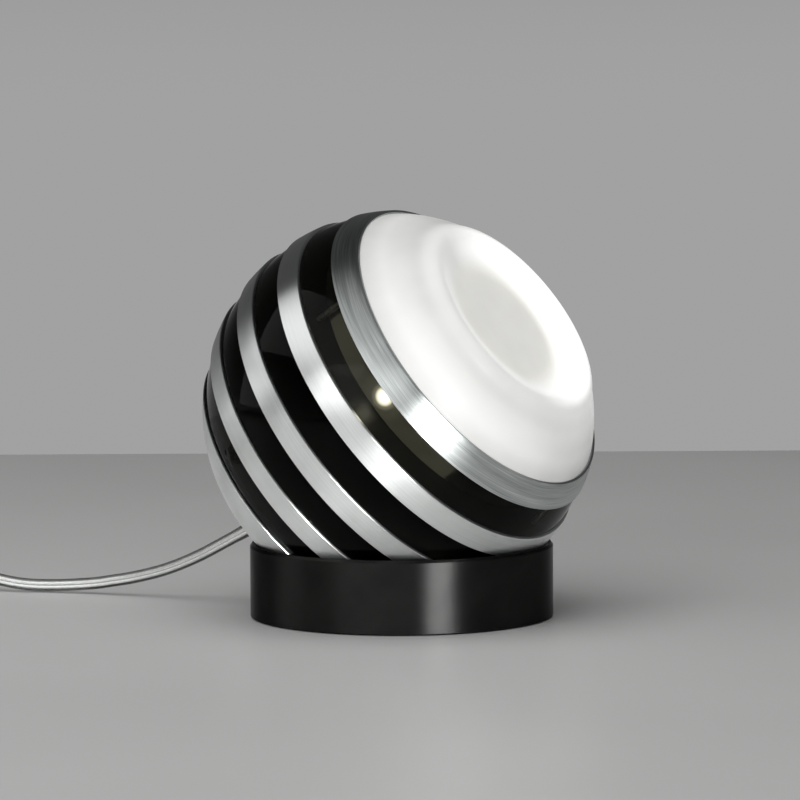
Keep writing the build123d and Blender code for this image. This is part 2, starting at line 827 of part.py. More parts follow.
# The switch's two half shells, with posts for the screws
split_z = switch_lift + switch_h / 2
inner_corner = switch_corner - switch_wall
with BuildPart() as switch_bottom:
    with BuildSketch(Plane.XY.offset(switch_lift)):
        with Locations((switch_x, switch_y)):
            RectangleRounded(switch_w, switch_l, switch_corner)
    extrude(amount=switch_h / 2)
    fillet(switch_bottom.faces().sort_by(Axis.Z)[0].edges(), switch_edge)
    with BuildSketch(Plane.XY.offset(split_z)):
        with Locations((switch_x, switch_y)):
            RectangleRounded(switch_w - 2 * switch_wall, switch_l - 2 * switch_wall, inner_corner)
            with GridLocations(0, 2 * post_place, 1, 2):
                Circle(post_r, mode=Mode.SUBTRACT)
    extrude(amount=switch_wall - switch_h / 2, mode=Mode.SUBTRACT)
    with BuildSketch(Plane.XY):
        with Locations((switch_x, switch_y)):
            with GridLocations(0, 2 * post_place, 1, 2):
                Circle(switch_screw_r + switch_screw_gap)
    extrude(amount=switch_h, mode=Mode.SUBTRACT)
    with BuildSketch(Plane.XY):
        with Locations((switch_x, switch_y)):
            with GridLocations(0, 2 * post_place, 1, 2):
                Circle(switch_screw_head_r + switch_screw_gap)
    extrude(amount=switch_lift + switch_screw_head_sink + switch_screw_head_h, mode=Mode.SUBTRACT)
switch_bottom.part.label = "switch_bottom"
export_step(switch_bottom.part, "parts/switch_bottom.step")

# The opening leaves room for the rocker's ends on both sides of its travel
rocker_tilt = radians(rocker_tilt_deg)
rocker_top = rocker_pivot_drop + rocker_rise
opening_l = rocker_l + 2 * (rocker_top * sin(rocker_tilt) + rocker_gap)
opening_w = rocker_w + 2 * rocker_gap
pivot_z = switch_lift + switch_h - rocker_pivot_drop
lug_x = rocker_w / 2 + rocker_lug_gap
lug_planes = (
    Plane(origin=(switch_x + lug_x, switch_y, pivot_z), x_dir=(0, 1, 0), z_dir=(1, 0, 0)),
    Plane(origin=(switch_x - lug_x, switch_y, pivot_z), x_dir=(0, 1, 0), z_dir=(-1, 0, 0)),
)
with BuildPart() as switch_top:
    with BuildSketch(Plane.XY.offset(split_z)):
        with Locations((switch_x, switch_y)):
            RectangleRounded(switch_w, switch_l, switch_corner)
    extrude(amount=switch_h / 2)
    fillet(switch_top.faces().sort_by(Axis.Z)[-1].edges(), switch_edge)
    with BuildSketch(Plane.XY.offset(split_z)):
        with Locations((switch_x, switch_y)):
            RectangleRounded(switch_w - 2 * switch_wall, switch_l - 2 * switch_wall, inner_corner)
            with GridLocations(0, 2 * post_place, 1, 2):
                Circle(post_r, mode=Mode.SUBTRACT)
    extrude(amount=switch_h / 2 - switch_wall, mode=Mode.SUBTRACT)
    with BuildSketch(Plane.XY.offset(split_z)):
        with Locations((switch_x, switch_y)):
            with GridLocations(0, 2 * post_place, 1, 2):
                Circle(switch_screw_r + switch_screw_gap)
    extrude(amount=switch_screw_bite, mode=Mode.SUBTRACT)
    with BuildSketch(Plane.XY.offset(split_z)):
        with Locations((switch_x, switch_y)):
            Rectangle(opening_w, opening_l)
    extrude(amount=switch_h, mode=Mode.SUBTRACT)
    for lug_plane in lug_planes:
        with BuildSketch(lug_plane):
            Circle(rocker_lug_r)
            with Locations((0, rocker_lug_r / 2)):
                Rectangle(2 * rocker_lug_r, rocker_lug_r)
            Circle(rocker_pivot_r + rocker_pivot_gap, mode=Mode.SUBTRACT)
        extrude(amount=rocker_lug_w)
switch_top.part.label = "switch_top"
export_step(switch_top.part, "parts/switch_top.step")

# The rocker, drawn on a plane that leans with it, and its two pivots
pivot = (switch_x, switch_y, pivot_z)
rocker_plane = Plane(
    origin=pivot,
    x_dir=(0, cos(rocker_tilt), sin(rocker_tilt)),
    z_dir=(1, 0, 0),
)
with BuildPart() as switch_rocker:
    with BuildSketch(rocker_plane):
        with BuildLine():
            Polyline(
                (-rocker_l / 2, -rocker_under),
                (rocker_l / 2, -rocker_under),
                (rocker_l / 2, rocker_top),
                (0, rocker_top - rocker_dent),
                (-rocker_l / 2, rocker_top),
                close=True,
            )
        make_face()
    extrude(amount=rocker_w / 2, both=True)
    with BuildSketch(rocker_plane):
        Circle(rocker_pivot_r)
    extrude(amount=rocker_w / 2 + rocker_lug_gap + rocker_lug_w, both=True)
switch_rocker.part.label = "switch_rocker"
export_step(switch_rocker.part, "parts/switch_rocker.step")

with BuildPart() as switch_contacts:
    with BuildSketch(Plane.XY.offset(switch_lift + switch_wall)):
        with Locations((switch_x, switch_y)):
            with GridLocations(0, 2 * terminal_place, 1, 2):
                Rectangle(terminal_w, terminal_l)
    extrude(amount=terminal_h)
switch_contacts.part.label = "switch_contacts"
export_step(switch_contacts.part, "parts/switch_contacts.step")

screw_head_low = switch_lift + switch_screw_head_sink
with BuildPart() as switch_screws:
    with BuildSketch(Plane.XY.offset(screw_head_low)):
        with Locations((switch_x, switch_y)):
            with GridLocations(0, 2 * post_place, 1, 2):
                Circle(switch_screw_head_r)
    extrude(amount=switch_screw_head_h)
    with BuildSketch(Plane.XY.offset(screw_head_low)):
        with Locations((switch_x, switch_y)):
            with GridLocations(0, 2 * post_place, 1, 2):
                Circle(switch_screw_r)
    extrude(amount=split_z + switch_screw_bite - screw_head_low)
switch_screws.part.label = "switch_screws"
export_step(switch_screws.part, "parts/switch_screws.step")

# The soft boots at the switch's two ends
with BuildPart() as switch_boots:
    for side in (-1, 1):
        boot_face = Plane(
            origin=(switch_x, switch_y + side * switch_l / 2, split_z),
            x_dir=(1, 0, 0),
            z_dir=(0, side, 0),
        )
        with BuildSketch(boot_face):
            Circle(boot_root_r)
        with BuildSketch(boot_face.offset(boot_l)):
            Circle(boot_tip_r)
        loft(ruled=True)
switch_boots.part.label = "switch_boots"
export_step(switch_boots.part, "parts/switch_boots.step")

# The plug lies on its side of the floor, its pins towards -Y
plug_face_y = plug_back_y - plug_l
pin_z = plug_lift + plug_h / 2
pin_plane = Plane(origin=(plug_x, plug_face_y, pin_z), x_dir=(1, 0, 0), z_dir=(0, -1, 0))
with BuildPart() as plug_body:
    with BuildSketch(Plane.XY.offset(plug_lift)):
        with BuildLine():
            Polyline(
                (plug_x - plug_face_w / 2, plug_face_y),
                (plug_x + plug_face_w / 2, plug_face_y),
                (plug_x + plug_face_w / 2, plug_face_y + plug_face_l),
                (plug_x + plug_back_w / 2, plug_back_y),
                (plug_x - plug_back_w / 2, plug_back_y),
                (plug_x - plug_face_w / 2, plug_face_y + plug_face_l),
                close=True,
            )
        make_face()
    extrude(amount=plug_h)
    fillet(plug_body.edges().filter_by(Axis.Z), plug_corner)
    fillet(plug_body.faces().filter_by(Axis.Z).edges(), plug_edge)
    with BuildSketch(pin_plane):
        with GridLocations(pin_spacing, 0, 2, 1):
            Circle(pin_root_r + pin_gap)
    extrude(amount=-pin_root, mode=Mode.SUBTRACT)
plug_body.part.label = "plug_body"
export_step(plug_body.part, "parts/plug_body.step")

with BuildPart() as plug_pins:
    with BuildSketch(pin_plane.offset(-pin_root)):
        with GridLocations(pin_spacing, 0, 2, 1):
            Circle(pin_root_r)
    extrude(amount=pin_root)
    with BuildSketch(pin_plane):
        with GridLocations(pin_spacing, 0, 2, 1):
            Circle(pin_r)
    extrude(amount=pin_l)
    fillet(plug_pins.faces().filter_by(Axis.Y).group_by(Axis.Y)[0].edges(), pin_tip)
plug_pins.part.label = "plug_pins"
export_step(plug_pins.part, "parts/plug_pins.step")


def corner_radii(name, route):
    """Give each corner of a cord's route the largest arc that its two runs allow."""
    radii = []
    for before, corner, after in zip(route, route[1:], route[2:]):
        run_in = Vector(*corner) - Vector(*before)
        run_out = Vector(*after) - Vector(*corner)
        turn = radians(run_in.get_angle(run_out))
        radii.append(run_share * min(run_in.length, run_out.length) / tan(turn / 2))
    print(name, "radii", [round(radius, 1) for radius in radii])
    return radii


def make_cord(name, route):
    """Sweep a stretch of the cord along its route and write it."""
    with BuildPart() as cord:
        with BuildLine() as line:
            FilletPolyline(*route, radius=corner_radii(name, route))
        with BuildSketch(Plane(origin=line.line @ 0, z_dir=line.line % 0)):
            Circle(cord_r)
        sweep(path=line.line)
    length = line.wire().length
    swept = pi * cord_r**2 * length
    print(f"{name} {length:.1f} mm long, volume {cord.part.volume / swept:.4f} of section times length")
    cord.part.label = name
    export_step(cord.part, f"parts/{name}.step")
    return length


cord_length = make_cord("cord_exit", cord_exit_route)
cord_length += make_cord("cord_run", cord_run_route)
cord_length += make_cord("cord_link", cord_link_route)
cord_length += make_cord("cord_tail", cord_tail_route)

# The coil: half turns one inside the other, a climb of one layer, and back out on top
coil_pitch = 2 * cord_r + coil_gap
coil_steps = list(range(coil_half_turns_in + 1)) + list(range(coil_half_turns_in - 1, 0, -1))
coil_low_z = coil_lift + cord_r
coil_end = Vector(2 * cord_r, 0, 0)
with BuildPart() as cord_coil:
    with BuildLine() as winding:
        here = Vector(coil_x, coil_top_y, coil_low_z)
        Line(here + coil_end, here)
        way = -1
        for step in coil_steps:
            turn_r = coil_r - step * coil_pitch / 2
            climb = coil_pitch if step == coil_half_turns_in else 0
            across_turn = Vector(0, 2 * way * turn_r, climb)
            bulge = Vector(way * across_turn.length / 2, 0, 0)
            ThreePointArc(here, here + across_turn * 0.5 + bulge, here + across_turn)
            here = here + across_turn
            way = -way
        Line(here, here - coil_end)
    with BuildSketch(Plane(origin=winding.line @ 0, z_dir=winding.line % 0)):
        Circle(cord_r)
    sweep(path=winding.line)
cord_coil.part.label = "cord_coil"
export_step(cord_coil.part, "parts/cord_coil.step")

# How close the coil comes to itself, measured on points along its middle line
coil_path = winding.wire()
coil_length = coil_path.length
coil_points = [coil_path @ (n * coil_step / coil_length) for n in range(int(coil_length / coil_step))]
apart = int(pi * coil_pitch / coil_step)
least_gap = min(
    (first - second).length - 2 * cord_r
    for n, first in enumerate(coil_points)
    for second in coil_points[n + apart :]
)
swept = pi * cord_r**2 * coil_length
print(f"coil {coil_length:.1f} mm long, volume {cord_coil.part.volume / swept:.4f} of section times length")
print(f"coil's least gap to itself {least_gap:.2f}, cord {cord_length + coil_length:.0f} mm in all")

# The tie round the coil's windings, at the side nearest the lamp
windings_w = (coil_half_turns_in / 2) * coil_pitch
first_y = coil_top_y - 2 * coil_r - cord_r - tie_gap
last_y = coil_top_y - 2 * coil_r + windings_w + cord_r + 2 * tie_gap
tie_low = tie_lift + tie_t
tie_high = coil_low_z + coil_pitch + cord_r + tie_gap
tie_plane = Plane(
    origin=(coil_x - tie_w / 2, (first_y + last_y) / 2, (tie_low + tie_high) / 2),
    x_dir=(0, 1, 0),
    z_dir=(1, 0, 0),
)
with BuildPart() as coil_tie:
    with BuildSketch(tie_plane):
        RectangleRounded(last_y - first_y + 2 * tie_t, tie_high - tie_low + 2 * tie_t, tie_corner + tie_t)
        RectangleRounded(last_y - first_y, tie_high - tie_low, tie_corner, mode=Mode.SUBTRACT)
    extrude(amount=tie_w)
coil_tie.part.label = "coil_tie"
export_step(coil_tie.part, "parts/coil_tie.step")
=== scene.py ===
"""The looks of the led table lamp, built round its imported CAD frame."""

import json
import math

import bpy
import numpy as np
from mathutils import Matrix, Vector


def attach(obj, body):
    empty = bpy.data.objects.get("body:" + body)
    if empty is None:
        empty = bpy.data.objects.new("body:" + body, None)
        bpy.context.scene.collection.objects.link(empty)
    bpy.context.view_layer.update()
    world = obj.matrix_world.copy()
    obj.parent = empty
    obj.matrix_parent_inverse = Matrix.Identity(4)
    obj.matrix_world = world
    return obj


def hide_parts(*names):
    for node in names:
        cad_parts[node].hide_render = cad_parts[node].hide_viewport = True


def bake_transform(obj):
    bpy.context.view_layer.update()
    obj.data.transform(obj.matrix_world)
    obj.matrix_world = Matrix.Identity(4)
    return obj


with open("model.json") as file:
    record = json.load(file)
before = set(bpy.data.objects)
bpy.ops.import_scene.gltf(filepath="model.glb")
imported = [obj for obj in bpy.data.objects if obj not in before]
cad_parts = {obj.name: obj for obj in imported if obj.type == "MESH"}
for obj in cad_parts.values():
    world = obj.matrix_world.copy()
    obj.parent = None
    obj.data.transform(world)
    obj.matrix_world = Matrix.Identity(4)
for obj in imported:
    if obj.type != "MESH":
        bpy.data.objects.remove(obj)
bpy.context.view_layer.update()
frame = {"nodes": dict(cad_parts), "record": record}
nodes = frame["nodes"]

# The lamp's axis leans back through the ball's centre. Lathe profiles are (distance from it, height
# along it) in millimetres, as the CAD source has them, and everything in Blender is in metres.
MM = 0.001
HEAD = Vector((0, 0, 0.07893))
LEAN = math.radians(36.8)
AXIS_TURN = math.pi / 2 - LEAN
LAMP = Matrix.Translation(HEAD) @ Matrix.Rotation(AXIS_TURN, 4, "X")

# The photograph's camera: where it stands and the level direction that it looks in
CAMERA_PLACE = Vector((-1.7375, -0.9635, 0.2747))
CAMERA_DIP = math.radians(5.538)
CAMERA_ROLL = math.radians(0.312)
CAMERA_LENS = 237.35
LOOK = Vector((0.8745, 0.4851, 0)).normalized()
LOOK_RIGHT = Vector((0.4851, -0.8745, 0)).normalized()

# The floor's corners, ahead of the ball and to its right as the camera sees it. It ends where the
# photograph's table does, and goes on to the sides and behind the camera.
FLOOR_CORNERS = [(-3.0, -3.0), (-3.0, 3.0), (0.58, 3.0), (0.58, -3.0)]

# The bezel and the acrylic rings: heights along the axis and the bores' radii
BEZEL_LOW, BEZEL_HIGH, BEZEL_CHAMFER = 32.2, 41.5, 0.25
BALL_R = 75.0
ACRYLIC_R = 74.0
BORE_R = 56.0
DEEP_BORE_R = 44.0
ACRYLIC_RINGS = [
    (19.5, 32.2, BORE_R),
    (-2.5, 10.2, DEEP_BORE_R),
    (-24.5, -11.8, DEEP_BORE_R),
    (-46.5, -33.8, DEEP_BORE_R),
]
# They stand a hair clear of the metal and of the core, and their edges are eased.
RING_CLEAR, BORE_CLEAR, RING_EASE = 0.02, 0.03, 0.3

# The painted spot of light on the front ring's bore, where the small lamp shows through, and how
# far its painted halo and the painted olive glow reach
PAINTED_SPOT_TURN = math.radians(186.5)
PAINTED_SPOT_HEIGHT = 25.4
PAINTED_SPOT_REACH = 11.0
PAINTED_GLOW_REACH = 38.0

# The lens: from its rim over the dome, the valley and the crest into the dish, and back inside
LENS_R = 61.5
LENS_FOOT = (61.2, 35.0)
LENS_SKIN = [
    (61.2, 41.0),
    (60.6, 41.9),
    (58.3, 44.95),
    (54.0, 49.5),
    (50.0, 53.1),
    (47.0, 55.5),
    (44.9, 57.3),
    (43.3, 59.0),
    (41.7, 60.25),
    (39.8, 60.8),
    (37.2, 60.5),
    (34.0, 59.3),
    (30.5, 57.85),
    (27.5, 56.85),
    (24.5, 56.2),
    (20.0, 55.7),
    (14.0, 55.3),
    (7.5, 55.05),
    (0.0, 54.9),
]
LENS_INSIDE = [
    (0.0, 51.7),
    (13.75, 52.1),
    (27.5, 53.2),
    (41.8, 53.6),
    (47.5, 49.7),
    (52.9, 44.1),
    (57.8, 37.8),
    (57.8, 35.0),
]

# The cord: the CAD routes' points, and the coil's half turns
CORD_R = 2.4
CORE_R = 0.37
CORE_ASIDE = 0.52
RELIEF_R, RELIEF_TIP_R = 3.4, 2.45
RELIEF_ROUTE = [
    (0.0, 56.54, 36.64),
    (0.0, 59.74, 34.24),
    (0.0, 66.6, 29.5),
    (0.0, 73.68, 25.9),
]
EXIT_ROUTE = [
    (0.0, 73.68, 25.9),
    (0.0, 80.5, 22.3),
    (0.3, 91.5, 16.7),
    (0.8, 106.0, 10.9),
    (0.8, 121.0, 7.0),
    (-0.2, 129.0, 5.6),
]
RUN_ROUTE = [
    (-1.2, 137.0, 4.1),
    (-4.2, 152.0, 2.8),
    (-8.6, 165.5, 2.8),
    (-11.9, 178.5, 5.2),
    (-13.5, 191.0, 8.5),
    (-13.5, 200.0, 8.5),
]
LINK_ROUTE = [
    (-13.5, 260.0, 8.5),
    (-13.5, 269.0, 8.5),
    (-16.0, 280.0, 7.1),
    (-22.6, 289.0, 5.4),
    (-32.0, 294.8, 4.1),
    (-43.2, 297.0, 3.4),
    (-54.2, 295.1, 3.2),
    (-63.2, 295.1, 3.2),
]
TAIL_ROUTE = [
    (-72.8, 295.1, 8.5),
    (-81.8, 295.1, 8.5),
    (-94.0, 291.9, 6.8),
    (-105.8, 284.8, 3.8),
    (-114.2, 273.4, 2.6),
    (-119.6, 262.0, 4.2),
    (-122.0, 251.5, 6.9),
    (-122.0, 242.0, 6.9),
]
COIL_TOP = Vector((-68.0, 295.1, 3.2))
COIL_R = 39.8
COIL_PITCH = 5.3
COIL_IN = 8
HALF_TURN_POINTS = 8

# How finely the pieces are cut
LINE_STEPS = 10
LATHE_SIDES = 256
SHEATH_SIDES, CORE_SIDES, RELIEF_SIDES = 24, 12, 32
BEZEL_STEPS, RING_STEPS, LENS_STEPS = 14, 12, 6
TUBE_SHARP, LATHE_SHARP, LENS_SHARP = 60, 25, 45
ON_AXIS = 1e-6


def link(obj):
    """Put an object in the scene and give it back."""
    bpy.context.scene.collection.objects.link(obj)
    return obj


def make_camera():
    """Stand the camera where the photograph's stood."""
    forward = LOOK * math.cos(CAMERA_DIP) + Vector((0, 0, -math.sin(CAMERA_DIP)))
    level_up = LOOK_RIGHT.cross(forward)
    right = LOOK_RIGHT * math.cos(CAMERA_ROLL) - level_up * math.sin(CAMERA_ROLL)
    up = level_up * math.cos(CAMERA_ROLL) + LOOK_RIGHT * math.sin(CAMERA_ROLL)
    data = bpy.data.cameras.new("camera")
    data.lens = CAMERA_LENS
    data.sensor_width = 36
    data.clip_start = 0.01
    data.clip_end = 100
    camera = link(bpy.data.objects.new("camera", data))
    turn = Matrix((right, up, -forward)).transposed().to_4x4()
    camera.matrix_world = Matrix.Translation(CAMERA_PLACE) @ turn
    bpy.context.scene.camera = camera


def coil_points():
    """The coil's half turns: one inside the other, up one layer, and back out on top."""
    steps = list(range(COIL_IN + 1)) + list(range(COIL_IN - 1, 0, -1))
    reach = 1 / math.cos(math.pi / HALF_TURN_POINTS / 2)
    start, way, points = COIL_TOP.copy(), -1, []
    for step in steps:
        radius = COIL_R - step * COIL_PITCH / 2
        climb = COIL_PITCH if step == COIL_IN else 0
        centre = start + Vector((0, way * radius, 0))
        for n in range(HALF_TURN_POINTS):
            share = (n + 0.5) / HALF_TURN_POINTS
            side = way * math.sin(math.pi * share) * radius * reach
            ahead = -way * math.cos(math.pi * share) * radius * reach
            points.append(tuple(centre + Vector((side, ahead, climb * share))))
        start = start + Vector((0, 2 * way * radius, climb))
        way = -way
    return points


def smooth_line(name, route):
    """Read the points of the NURBS curve that a route in millimetres controls."""
    data = bpy.data.curves.new(name, "CURVE")
    data.dimensions = "3D"
    data.resolution_u = LINE_STEPS
    spline = data.splines.new("NURBS")
    spline.points.add(len(route) - 1)
    for point, place in zip(spline.points, route):
        point.co = (place[0] * MM, place[1] * MM, place[2] * MM, 1)
    spline.order_u = 3
    spline.use_endpoint_u = True
    curve = link(bpy.data.objects.new(name, data))
    ready = curve.evaluated_get(bpy.context.evaluated_depsgraph_get())
    mesh = bpy.data.meshes.new_from_object(ready)
    points = [vertex.co.copy() for vertex in mesh.vertices]
    bpy.data.objects.remove(curve)
    bpy.data.meshes.remove(mesh)
    return points


def catmull(points, steps):
    """A smooth curve through points."""
    rows = [points[0], *points, points[-1]]
    curve = []
    for quad in zip(rows, rows[1:], rows[2:], rows[3:]):
        a, b, c, d = (np.array(p, float) for p in quad)
        slope, bend, twist = c - a, 2 * a - 5 * b + 4 * c - d, 3 * b - a - 3 * c + d
        for n in range(steps):
            t = n / steps
            curve.append(tuple(0.5 * (2 * b + slope * t + bend * t**2 + twist * t**3)))
    return [*curve, points[-1]]


def ball_arc(low, high, skin_r, steps):
    """Points of a ball's skin between two heights."""
    heights = [low + (high - low) * n / steps for n in range(steps + 1)]
    return [(math.sqrt(skin_r**2 - height**2), height) for height in heights]


def mesh_object(name, vertices, faces, material, sharp):
    """Make a smooth-shaded mesh with sharp edges where its faces turn by more than an angle."""
    mesh = bpy.data.meshes.new(name)
    mesh.from_pydata(vertices, [], faces)
    mesh.update()
    mesh.polygons.foreach_set("use_smooth", [True] * len(mesh.polygons))
    mesh.set_sharp_from_angle(angle=math.radians(sharp))
    mesh.materials.append(material)
    return link(bpy.data.objects.new(name, mesh))


def tube(name, points, radius, sides, material, aside=0.0, tip=None, open_ends=False):
    """Make a round tube along points, or one that runs above them or tapers to its tip."""
    vertices, faces = [], []
    last = len(points) - 1
    for n, point in enumerate(points):
        along = (points[min(n + 1, last)] - points[max(n - 1, 0)]).normalized()
        level = Vector((0, 0, 1)).cross(along).normalized()
        up = along.cross(level)
        here = radius if tip is None else radius + (tip - radius) * n / last
        for k in range(sides):
            turn = 2 * math.pi * k / sides
            round_it = level * math.cos(turn) + up * math.sin(turn)
            vertices.append(point + up * aside + round_it * here)
    for n in range(last):
        near, far = n * sides, (n + 1) * sides
        for k in range(sides):
            after = (k + 1) % sides
            faces.append((near + k, near + after, far + after, far + k))
    if not open_ends:
        faces.append(tuple(range(sides))[::-1])
        faces.append(tuple(range(last * sides, (last + 1) * sides)))
    return mesh_object(name, vertices, faces, material, TUBE_SHARP)


def lathe(name, profile, material, sharp=LATHE_SHARP, other_sides=None):
    """Turn a closed profile of (radius, height) round the lamp's axis.

    other_sides gives the materials of the profile's sides that don't have the main one.
    """
    other_sides = other_sides or {}
    order = list(other_sides)
    vertices, faces, rings, slots = [], [], [], []
    for radius, height in profile:
        if radius < ON_AXIS:
            rings.append([len(vertices)])
            vertices.append((0, 0, height * MM))
            continue
        rings.append(list(range(len(vertices), len(vertices) + LATHE_SIDES)))
        for k in range(LATHE_SIDES):
            turn = 2 * math.pi * k / LATHE_SIDES
            across, deep = radius * math.cos(turn) * MM, radius * math.sin(turn) * MM
            vertices.append((across, deep, height * MM))
    for side, (low, high) in enumerate(zip(rings, rings[1:] + rings[:1])):
        if len(low) == 1 and len(high) == 1:
            continue
        slots += [1 + order.index(side) if side in other_sides else 0] * LATHE_SIDES
        for k in range(LATHE_SIDES):
            after = (k + 1) % LATHE_SIDES
            if len(low) == 1:
                faces.append((low[0], high[after], high[k]))
            elif len(high) == 1:
                faces.append((low[k], low[after], high[0]))
            else:
                faces.append((low[k], low[after], high[after], high[k]))
    turned = [LAMP @ Vector(vertex) for vertex in vertices]
    made = mesh_object(name, turned, faces, material, sharp)
    for side in order:
        made.data.materials.append(other_sides[side])
    if order:
        made.data.polygons.foreach_set("material_index", slots)
    return made


# Short calls for the materials' nodes
MIX_FACTOR, MIX_FIRST, MIX_SECOND, MIX_RESULT = 0, 6, 7, 2


def start_material(name):
    material = bpy.data.materials.new(name)
    material.use_nodes = True
    return material, material.node_tree, material.node_tree.nodes["Principled BSDF"]


def set_or_link(tree, socket, value):
    """Give a socket a value, or link it to the socket that makes it."""
    if isinstance(value, bpy.types.NodeSocket):
        tree.links.new(value, socket)
    else:
        socket.default_value = value


def add(tree, kind, inputs=(), **settings):
    """Add a node, set its properties, and set or link its inputs."""
    made = tree.nodes.new(kind)
    for key, value in settings.items():
        setattr(made, key, value)
    for key, value in dict(inputs).items():
        set_or_link(tree, made.inputs[key], value)
    return made


def calc(tree, operation, *values):
    """The result of a sum with numbers."""
    wanted = dict(enumerate(values))
    return add(tree, "ShaderNodeMath", wanted, operation=operation).outputs[0]


def vector_calc(tree, operation, *values):
    """The result of a sum with directions or places."""
    wanted = dict(enumerate(values))
    return add(tree, "ShaderNodeVectorMath", wanted, operation=operation).outputs[0]


def total(tree, first, *others):
    for other in others:
        first = calc(tree, "ADD", first, other)
    return first


def product(tree, first, *others):
    for other in others:
        first = calc(tree, "MULTIPLY", first, other)
    return first


def ramp(tree, factor, stops):
    """Turn a factor into grey levels or colours at the given places."""
    made = add(tree, "ShaderNodeValToRGB", {"Fac": factor})
    made.color_ramp.interpolation = "EASE"
    elements = made.color_ramp.elements
    while len(elements) < len(stops):
        elements.new(0.5)
    for element, (place, value) in zip(elements, stops):
        element.position = place
        element.color = (*value, 1) if isinstance(value, tuple) else (value, value, value, 1)
    return made.outputs["Color"]


def blend_colors(tree, factor, first, second, mode="MIX"):
    made = add(tree, "ShaderNodeMix", data_type="RGBA", blend_type=mode)
    set_or_link(tree, made.inputs[MIX_FACTOR], factor)
    set_or_link(tree, made.inputs[MIX_FIRST], first)
    set_or_link(tree, made.inputs[MIX_SECOND], second)
    return made.outputs[MIX_RESULT]


def noise(tree, vector, scale, detail, roughness=0.55):
    wanted = {"Vector": vector, "Scale": scale, "Detail": detail, "Roughness": roughness}
    return add(tree, "ShaderNodeTexNoise", wanted).outputs["Fac"]


def spread(tree, value, low, high):
    """Bring a 0 to 1 value into a range."""
    wanted = {"Value": value, "To Min": low, "To Max": high}
    return add(tree, "ShaderNodeMapRange", wanted).outputs["Result"]


def bump(tree, shader, height, strength, distance):
    wanted = {"Height": height, "Strength": strength, "Distance": distance}
    tree.links.new(add(tree, "ShaderNodeBump", wanted).outputs[0], shader.inputs["Normal"])


def set_shader(shader, **values):
    """Set constants on the shader's own sockets, named with underscores for their spaces."""
    for key, value in values.items():
        shader.inputs[key.replace("_", " ")].default_value = value


def drive_shader(tree, shader, **sockets):
    """Link sockets to the shader's own, named with underscores for their spaces."""
    for key, socket in sockets.items():
        tree.links.new(socket, shader.inputs[key.replace("_", " ")])


def place_of(tree):
    """A piece's coordinates in metres, turned so that Z runs along the lamp's axis."""
    here = add(tree, "ShaderNodeTexCoord").outputs["Object"]
    wanted = {"Vector": here, "Location": HEAD, "Rotation": (AXIS_TURN, 0, 0)}
    return add(tree, "ShaderNodeMapping", wanted, vector_type="TEXTURE").outputs["Vector"]


def axis_parts(tree, here):
    """The distance from the axis, the height along it, and the parts of the way out from it."""
    parts = add(tree, "ShaderNodeSeparateXYZ", {0: here}).outputs
    flat = add(tree, "ShaderNodeCombineXYZ", {0: parts[0], 1: parts[1]}).outputs[0]
    measured = add(tree, "ShaderNodeVectorMath", {0: flat}, operation="LENGTH")
    unit = vector_calc(tree, "NORMALIZE", flat)
    ways = add(tree, "ShaderNodeSeparateXYZ", {0: unit}).outputs
    return measured.outputs["Value"], parts[2], ways


def turning_lines(tree, here, across, around, detail):
    """Noise in fine lines round the axis: quick across them, and slow along them."""
    radius, height, ways = axis_parts(tree, here)
    depth = product(tree, total(tree, radius, height), across)
    stretched = {0: product(tree, ways[0], around), 1: product(tree, ways[1], around), 2: depth}
    vector = add(tree, "ShaderNodeCombineXYZ", stretched).outputs[0]
    return noise(tree, vector, 1.0, detail)


def brushed_round(tree, shader, amount):
    """Stretch the highlights across the lines that turning leaves round the lamp's axis."""
    axis = LAMP.to_3x3() @ Vector((0, 0, 1))
    here = add(tree, "ShaderNodeTexCoord").outputs["Object"]
    out = vector_calc(tree, "SUBTRACT", here, HEAD)
    round_it = vector_calc(tree, "CROSS_PRODUCT", axis, out)
    across = vector_calc(tree, "CROSS_PRODUCT", round_it, out)
    spaces = {"vector_type": "VECTOR", "convert_from": "OBJECT", "convert_to": "WORLD"}
    turned = add(tree, "ShaderNodeVectorTransform", {0: across}, **spaces).outputs[0]
    drive_shader(tree, shader, Tangent=vector_calc(tree, "NORMALIZE", turned))
    set_shader(shader, Anisotropic=amount)


def metal(name, color, rough, lines, around, line_bump, anisotropic):
    """Turned metal: fine lines round the axis in its roughness, tone and surface."""
    material, tree, shader = start_material(name)
    here = place_of(tree)
    streaks = turning_lines(tree, here, lines, around, 4.0)
    cloud = noise(tree, here, 60, 3)
    tone = total(tree, product(tree, streaks, 0.6), product(tree, cloud, 0.4))
    light = tuple(min(1, c * 1.05) for c in color)
    dark = tuple(c * 0.9 for c in color)
    drive_shader(
        tree,
        shader,
        Base_Color=ramp(tree, tone, [(0.3, dark), (0.7, light)]),
        Roughness=spread(tree, tone, rough * 0.7, rough * 1.35),
    )
    set_shader(shader, Metallic=1.0)
    brushed_round(tree, shader, anisotropic)
    bump(tree, shader, streaks, 0.35, line_bump)
    return material


def make_bezel_metal():
    """Brushed round the axis, with broad soft bands and fine scratches."""
    material, tree, shader = start_material("brushed_metal")
    here = place_of(tree)
    fine = turning_lines(tree, here, 9000, 3.0, 3.0)
    broad = turning_lines(tree, here, 1500, 1.3, 2.0)
    both = total(tree, product(tree, fine, 0.55), product(tree, broad, 0.45))
    tones = [(0.34, (0.34, 0.365, 0.36)), (0.5, (0.53, 0.56, 0.55)), (0.66, (0.77, 0.795, 0.79))]
    drive_shader(
        tree, shader, Base_Color=ramp(tree, both, tones), Roughness=spread(tree, both, 0.22, 0.42)
    )
    set_shader(shader, Metallic=1.0)
    brushed_round(tree, shader, 0.85)
    bump(tree, shader, both, 0.5, 0.00004)
    return material


